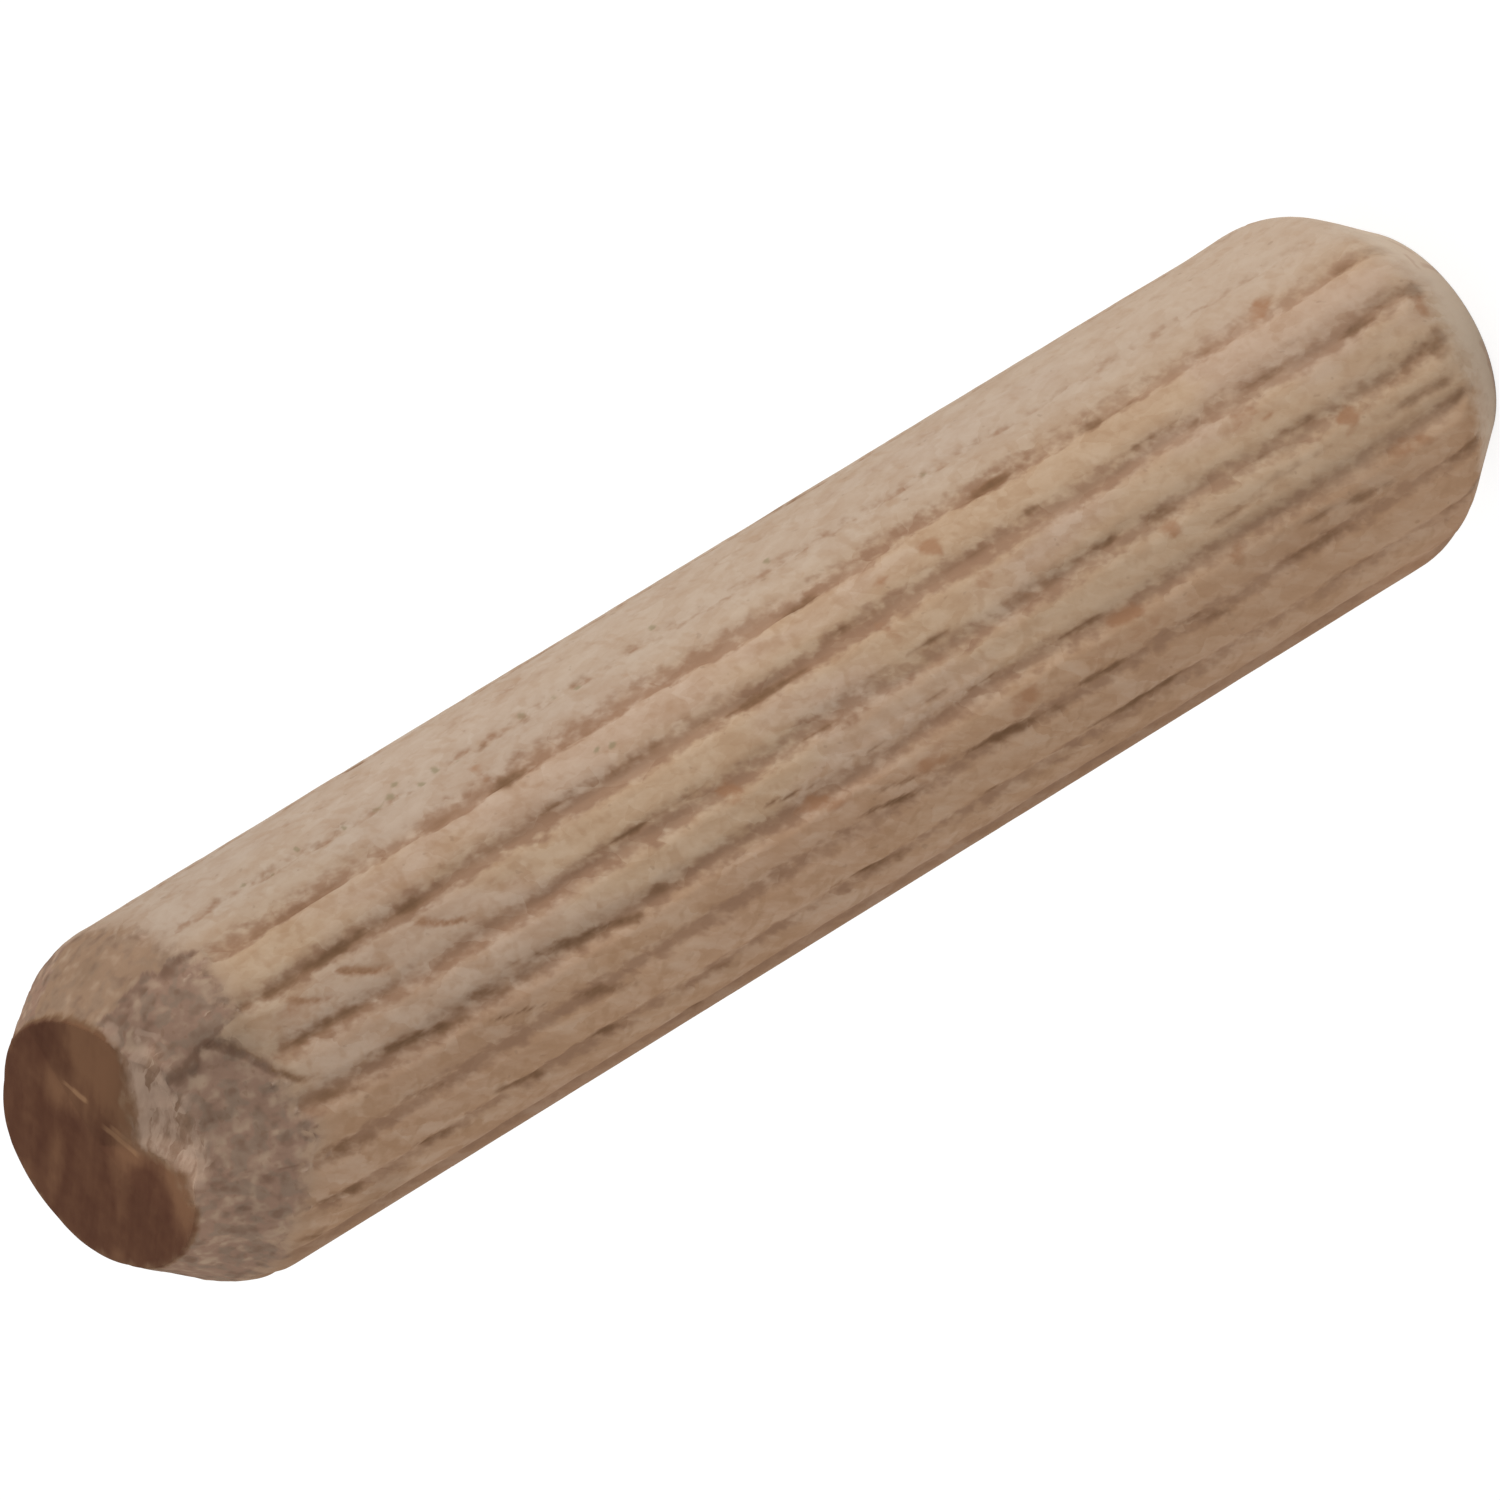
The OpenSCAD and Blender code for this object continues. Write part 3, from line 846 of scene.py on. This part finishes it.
def closeMesh(name, angle, radius, height, pull, masks):
    # Joins the rows and columns into a closed skin, with a fan over the middle of each end face
    rows, count = angle.shape
    towards = math.radians(turnStart)
    points = np.stack([radius * np.cos(angle) + pull * math.cos(towards),
                       radius * np.sin(angle) + pull * math.sin(towards), height], -1)
    middles = np.stack([points[0].mean(0), points[-1].mean(0)])
    points = np.concatenate([points.reshape(-1, 3), middles]) * milli
    index = np.arange(rows * count).reshape(rows, count)
    after = np.roll(index, -1, 1)
    quads = np.stack([index[:-1], index[1:], after[1:], after[:-1]], -1).reshape(-1, 4)
    lowMiddle = np.full(count, rows * count)
    lowFan = np.stack([lowMiddle, index[0], after[0]], -1)
    topFan = np.stack([lowMiddle + 1, after[-1], index[-1]], -1)
    mesh = bpy.data.meshes.new(name)
    mesh.from_pydata(points.tolist(), [], quads.tolist() + lowFan.tolist() + topFan.tolist())
    for key, values in masks.items():
        flat = np.concatenate([values.reshape(-1), values[[0, -1]].mean(1)]).astype(np.float32)
        mesh.attributes.new(key, "FLOAT", "POINT").data.foreach_set("value", flat)
    mesh.shade_smooth()
    mesh.validate()
    made = bpy.data.objects.new(name, mesh)
    bpy.context.scene.collection.objects.link(made)
    return made


pin = closeMesh("flutedPin", *sculptPin(pinShape))
triangles = sum(len(p.vertices) - 2 for p in pin.data.polygons)
print("pin sculpted:", triangles, "triangles")

woodTone = {
    "beige": (188, 160, 132),
    "pink": (187, 160, 138),
    "tan": (163, 128, 98),
    # Painted light on the lit side, and painted shade on the shaded side
    "paintedLightSide": (186, 168, 151),
    "paintedShadeSide": (180, 143, 114),
    # Painted shade on the limb away from the light
    "limbShade": (143, 106, 83),
    # The flutes' own darker tone, partly painted shade in them
    "groove": (154, 121, 97),
    # Painted shade round and in the torn fibre
    "tearShadeHalo": (142, 109, 83),
    "tear": (116, 87, 63),
    "warm": (159, 117, 87),
    "olive": (140, 128, 98),
    "cutBrown": (153, 125, 102),
    "cutGrey": (151, 122, 104),
    "cutGreen": (141, 121, 104),
    "cutShade": (124, 96, 79),
    "cutPale": (178, 153, 130),
    "wash": (166, 140, 118),
    "burntDark": (79, 48, 37),
    "burntMiddle": (96, 64, 48),
    "burntLight": (127, 92, 68),
    "scorched": (120, 88, 62),
    "scratch": (166, 128, 96),
    "fibre": (184, 157, 137),
    "fibreShade": (142, 113, 92),
    "pale": (212, 196, 177),
    "pore": (122, 96, 74),
}

beechSet = {
    "grainTurn": 62,            # the turn that the grain leans towards on its way up
    "grainLean": 28,            # degrees from the pin's axis
    "wiped": -57,               # the way that the end face was wiped, in degrees from +X
    "roughness": 0.85,
    "burnish": 0.33,            # how much smoother the burnished disc is
    "specular": 0.01,
    "bumpStrength": 0.33,
    "bumpDistance": 0.06,
}

# Light scratches on the burnished disc, from and to along +X and +Y, half width, strength
discScratches = [
    (-0.62, -1.02, 0.42, -0.50, 0.09, 0.42), (-0.35, -1.05, 0.30, -0.72, 0.07, 0.3),
    (0.86, -0.58, 1.60, -0.22, 0.07, 0.4), (0.92, -0.55, 1.34, -0.36, 0.10, 0.4),
]

# Pale strands of the worn lip beside that disc, in the same order
paleStrands = [
    (1.18, -2.78, 0.55, -2.30, 0.11, 0.55), (0.75, -2.52, 0.05, -1.85, 0.12, 0.7),
    (0.12, -1.95, -0.60, -1.22, 0.11, 0.6), (-0.05, -2.78, -0.80, -1.92, 0.09, 0.5),
    (-0.80, -2.70, -1.45, -2.25, 0.08, 0.5), (-1.20, -2.50, -1.90, -1.92, 0.09, 0.5),
    (1.52, -2.68, 1.02, -3.02, 0.05, 0.5), (2.00, -2.22, 1.35, -2.48, 0.07, 0.4),
    (0.35, -2.60, -0.20, -2.12, 0.06, 0.4),
]


def paint(name):
    # Written as 0 to 255 the way a picture shows them, turned into light values
    shown = [v / 255 for v in woodTone[name]]
    light = [v / 12.92 if v <= 0.04045 else ((v + 0.055) / 1.055) ** 2.4 for v in shown]
    return (*light, 1)


def stretched(where, stretch, move):
    return where.node("ShaderNodeVectorMath", {"operation": "MULTIPLY_ADD"}, {
        0: where, 1: stretch, 2: move})


def noise(where, stretch, detail, roughness, offset, output=0):
    place = stretched(where, stretch, (offset, offset, offset))
    return where.node("ShaderNodeTexNoise", None, {
        "Vector": place, "Scale": 1.0, "Detail": detail, "Roughness": roughness}, output)


def cells(where, stretch, offset):
    # An even random value for each of many small cells
    place = stretched(where, stretch, (offset, offset, offset))
    found = where.node("ShaderNodeTexVoronoi", None, {"Vector": place, "Scale": 1.0}, "Color")
    return where.node("ShaderNodeSeparateColor", inputs={0: found})


def rise(value, low, high):
    return value.node("ShaderNodeMapRange", {"interpolation_type": "SMOOTHSTEP"}, {
        "Value": value, "From Min": low, "From Max": high})


def mixed(first, second, share):
    return share.node("ShaderNodeMix", {"data_type": "RGBA"}, {0: share, 6: first, 7: second}, 2)


def painted(ground, *coats):
    # Coats of paint on top of each other: name, share
    for name, share in coats:
        ground = mixed(ground, paint(name), share)
    return ground


def dotted(where, direction):
    return where.node("ShaderNodeVectorMath", {"operation": "DOT_PRODUCT"}, {
        0: where, 1: direction}, "Value")


def cornered(x, y, z=0.0):
    return x.node("ShaderNodeCombineXYZ", inputs={0: x, 1: y, 2: z})


def stroke(w, place, waver):
    # Soft straight mark on the end face, which wavers by so much
    fromX, fromY, toX, toY, width, strength = place
    length = math.hypot(toX - fromX, toY - fromY)
    runX = (toX - fromX) / length
    runY = (toY - fromY) / length
    travelled = dotted(w.spot, (runX, runY, 0)) - (fromX * runX + fromY * runY)
    aside = dotted(w.spot, (-runY, runX, 0)) - (fromY * runX - fromX * runY)
    aside = aside + (w.crumb - 0.5) * waver
    inLine = 1 - rise(aside * aside, 0.1 * width * width, 1.2 * width * width)
    inLine = inLine * rise(travelled, 0.0, 0.15 * length) * (1 - rise(travelled, 0.8 * length, length))
    return inLine * strength


def woodGrain(s, start):
    # The stored masks, and the textures that more than one part of the finish uses
    place = start.node("ShaderNodeTexCoord", output="Object")
    spot = start.node("ShaderNodeVectorMath", {"operation": "SCALE"}, {0: place, "Scale": 1 / milli})
    w = SimpleNamespace(spot=spot)
    for name in ("groove", "tear", "warm", "olive", "rough", "greyCut", "facetEdge", "shadeZone", "burnt",
                 "fibre", "tint", "chamferTone", "discTone", "zone"):
        setattr(w, name, start.node("ShaderNodeAttribute", {"attribute_name": name}, output="Fac"))
    # these are stored round 0.5
    w.chamferTone = w.chamferTone * 2.0 - 1.0
    w.discTone = w.discTone * 2.0 - 1.0
    w.zone = w.zone * 2.0 - 1.0
    w.tint = w.tint - 0.5
    w.height = start.node("ShaderNodeSeparateXYZ", inputs={0: spot}, output="Z")

    # The grain runs out of the pin: it leans on its way up
    aim = math.radians(turnStart - s["grainTurn"])
    leaned = start.node("ShaderNodeVectorRotate", {"rotation_type": "AXIS_ANGLE"}, {
        "Vector": spot, "Axis": (math.sin(aim), -math.cos(aim), 0), "Angle": math.radians(s["grainLean"])})
    w.stir = noise(spot, (4.5, 4.5, 4.5), 1.0, 0.5, 2.2, "Color")
    stirred = stretched(w.stir, (0.12, 0.12, 0.25), leaned)
    streak = noise(leaned, (2.4, 2.4, 0.6), 3.0, 0.6, 11.7)
    w.fine = noise(leaned, (7.0, 7.0, 1.9), 2.0, 0.6, 31.9)
    w.speck = noise(leaned, (5.2, 5.2, 3.4), 1.0, 0.5, 47.2)
    w.patch = cells(stirred, (2.7, 2.7, 0.65), 23.4)
    w.sliver = cells(stirred, (5.4, 5.4, 1.8), 8.8)
    w.clear = 0.72 + 0.28 * rise(w.height, 3.0, 17.0)      # the marks are fainter towards the lower end
    uneven = (w.patch - 0.5) * 0.27 + (w.sliver - 0.5) * 0.18
    w.uneven = (uneven + (streak - 0.5) * 1.2 + (w.fine - 0.5) * 0.15) * w.clear
    # The mottling is stronger towards the side with painted shade
    w.mottle = w.uneven * (1 + w.zone * 0.35)
    w.ragged = noise(leaned, (4.4, 4.4, 2.2), 2.0, 0.5, 77.0) - 0.5
    w.crumb = noise(spot, (3.6, 3.6, 3.6), 1.0, 0.45, 5.5)
    w.clump = noise(spot, (1.5, 1.5, 1.5), 2.0, 0.5, 61.0)
    w.lump = noise(stirred, (2.6, 2.6, 2.0), 1.0, 0.5, 71.0)

    # the end face was wiped one way, which combs its fibre
    lie = math.radians(s["wiped"])
    w.along = dotted(spot, (math.cos(lie), math.sin(lie), 0))
    w.across = dotted(spot, (-math.sin(lie), math.cos(lie), 0))
    w.combed = cornered(w.along, w.across, w.height)
    w.strand = noise(w.combed, (1.0, 4.2, 1.6), 3.0, 0.6, 91.0)
    return w


def paintRibs(w):
    broad = noise(w.spot, (0.42, 0.42, 0.16), 3.0, 0.55, 3.1)
    pinker = rise(broad + rise(w.height, 12.0, 32.0) * 0.15, 0.50, 0.68)
    blotch = rise((w.crumb - 0.5) * 0.9 + (w.clump - 0.5) * 0.9, 0.03, 0.26) * w.clear
    speckled = rise(w.olive + w.mottle * 0.4, 0.2, 0.8) * rise(w.olive, 0.0, 0.2)
    nearChamfer = rise(w.rough, 0.05, 0.5) * 0.35 + rise(w.rough, 0.3, 0.5) * 0.3
    return painted(
        paint("beige"),
        ("pink", pinker),
        # Painted light on the lit side and painted shade on the shaded side
        ("paintedLightSide", rise(0 - w.zone, 0.0, 1.0) * 0.75),
        ("paintedShadeSide", rise(w.zone, 0.0, 1.0) * 0.75),
        ("tan", rise(w.mottle, -0.35, 0.65) * 0.62),
        ("pale", rise(0 - w.mottle, -0.25, 0.75) * 0.26),
        ("tan", blotch * (0.34 + w.zone * 0.12)),
        ("pore", rise(w.speck, 0.71, 0.79) * 0.22),
        ("olive", speckled * 0.65),
        # Painted shade on the limb away from the light
        ("limbShade", w.shadeZone * 0.40),
        ("wash", nearChamfer))


def paintFlutes(w, ground):
    # The flutes, what is torn in them with the painted shade in it, and the pale lower chamfer
    inGroove = rise(w.groove + w.ragged * 0.95 + w.uneven * 0.25, 0.04, 0.46) * rise(w.groove, 0.0, 0.14)
    inFleck = rise(w.warm + w.ragged * 0.8 + w.uneven * 0.2, 0.08, 0.70) * rise(w.warm, 0.0, 0.2)
    torn = w.tear + w.ragged * 0.8 + w.uneven * 0.25
    low = 1 - rise(w.height + w.mottle * 1.2, 0.5, 2.1)
    return painted(
        ground,
        # The flutes' own darker tone, partly painted shade in the hollows
        ("groove", inGroove * w.clear * (0.88 + (w.patch - 0.5) * 0.30)),
        ("warm", inFleck * 0.75),
        # Painted shade round and in the torn fibre and the split
        ("tearShadeHalo", rise(torn, 0.0, 0.70) * rise(w.tear, 0.0, 0.2) * w.clear * 0.7),
        ("tear", rise(torn, 0.30, 1.05) * rise(w.tear, 0.1, 0.5) * w.clear * 0.85),
        ("pale", low * (1 - w.groove) * 0.75))


def paintChamfer(w, ground):
    # The rough upper chamfer
    crumble = (w.lump - 0.5) * 1.9 + (w.crumb - 0.5) * 1.7 + (w.clump - 0.5) * 1.0 + w.ragged * 0.4
    crumble = crumble * (0.7 + w.greyCut * 0.3) + (w.strand - 0.5) * (0.6 - w.greyCut * 0.6)
    # Small pits, painted dark as the shade in them
    pits = rise(noise(w.spot, (7.0, 7.0, 7.0), 0.0, 0.5, 37.0), 0.66, 0.76)
    pits = pits * (1 - rise(w.clump, 0.45, 0.65) * 0.6)
    # Painted shade along each facet's recessed step
    stepShade = rise(w.facetEdge + crumble * 0.6, 0.15, 0.95) * rise(w.facetEdge, 0.0, 0.3)
    cut = painted(
        paint("cutBrown"),
        ("cutGrey", w.greyCut),
        ("cutGreen", rise(w.lump + w.ragged * 0.3, 0.48, 0.60) * (0.3 + w.greyCut * 0.4)),
        ("cutShade", rise(crumble, 0.02, 0.75) * 0.62),
        ("cutPale", rise(0 - crumble, 0.02, 0.75) * 0.70),
        ("cutPale", rise(w.chamferTone - crumble * 0.7, 0.05, 1.05) * 0.7),
        ("cutShade", rise(crumble * 0.8 - w.chamferTone, 0.10, 1.30) * 0.8),
        ("cutShade", stepShade * 0.6),
        ("tear", pits * (0.06 + w.greyCut * 0.16)))
    edge = w.rough + (w.patch - 0.5) * 0.08 + (w.sliver - 0.5) * 0.05 + w.ragged * 0.3
    rough = rise(edge, 0.40, 0.59)
    # Painted shade in the torn fibre and the split on the chamfer
    torn = rise(w.tear + crumble * 0.4, 0.2, 1.0) * rise(w.tear, 0.1, 0.4)
    return painted(mixed(ground, cut, rough), ("cutShade", torn * rough * 0.7))


def paintUpperFace(w, ground):
    # The burnished disc, and the lip worn off it. Returns the disc's share too.
    sweep = noise(cornered(w.along, w.across), (0.38, 1.7, 1.0), 3.0, 0.6, 7.3)
    ribbon = cells(stretched(w.stir, (0.3, 0.2, 0.3), w.combed), (1.1, 4.4, 1.5), 12.0)
    combing = (ribbon - 0.5) * 0.4 + w.strand + w.ragged * 0.3
    lip = painted(paint("fibreShade"), ("fibre", rise(combing, 0.30, 0.66)))
    onLip = rise(w.fibre + (w.strand - 0.5) * 0.7 + w.ragged * 0.3, 0.15, 1.05)
    scorched = rise(w.burnt + (w.strand - 0.5) * 0.4 + (ribbon - 0.5) * 0.1, 0.24, 0.50)
    ground = painted(mixed(ground, lip, onLip * 0.85), ("scorched", scorched * 0.7))
    shine = w.discTone * 1.5 + (sweep - 0.5) * 1.9 + (ribbon - 0.5) * 0.16 + (w.crumb - 0.5) * 0.6
    scratches = [stroke(w, place, 0.06) for place in discScratches]
    disc = painted(
        paint("burntMiddle"),
        ("burntDark", rise(0 - shine, -0.25, 0.9)),
        ("burntLight", rise(shine, -0.1, 1.5) * 0.88),
        *[("scratch", mark) for mark in scratches])
    onDisc = rise(w.burnt + (w.strand - 0.5) * 0.4 + (w.crumb - 0.5) * 0.3, 0.36, 0.68)
    strands = [stroke(w, place, 0.16) for place in paleStrands]
    ground = painted(mixed(ground, disc, onDisc), *[("fibre", mark) for mark in strands])
    return ground, onDisc


def makeBeech(s):
    material, start = newFinish("beechWood")
    w = woodGrain(s, start)
    ground = paintChamfer(w, paintFlutes(w, paintRibs(w)))
    ground, onDisc = paintUpperFace(w, ground)
    # The painted light and shade scales the colour
    ground = start.node("ShaderNodeVectorMath", {"operation": "SCALE"}, {0: ground, "Scale": 1 + w.tint})
    # The bump works its height out three times, so it takes few textures
    relief = w.ragged * 0.6 + w.crumb * 1.3 * rise(w.rough, 0.45, 0.55) + w.strand * w.fibre * 1.2
    relief = relief * (1 - rise(w.burnt, 0.42, 0.58) * 0.85)
    bump = start.node("ShaderNodeBump", inputs={
        "Strength": s["bumpStrength"], "Distance": s["bumpDistance"] * milli, "Height": relief})
    roughness = s["roughness"] - onDisc * s["burnish"] + (w.fine - 0.5) * 0.10
    shader = start.node("ShaderNodeBsdfPrincipled", inputs={
        "Base Color": ground, "Roughness": roughness, "Normal": bump, "IOR": 1.45,
        "Specular IOR Level": s["specular"]})
    start.node("ShaderNodeOutputMaterial", inputs={"Surface": shader})
    return material


pin.data.materials.append(makeBeech(beechSet))
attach(pin, "root")
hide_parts("dowel_pin")
print("beech finish made")
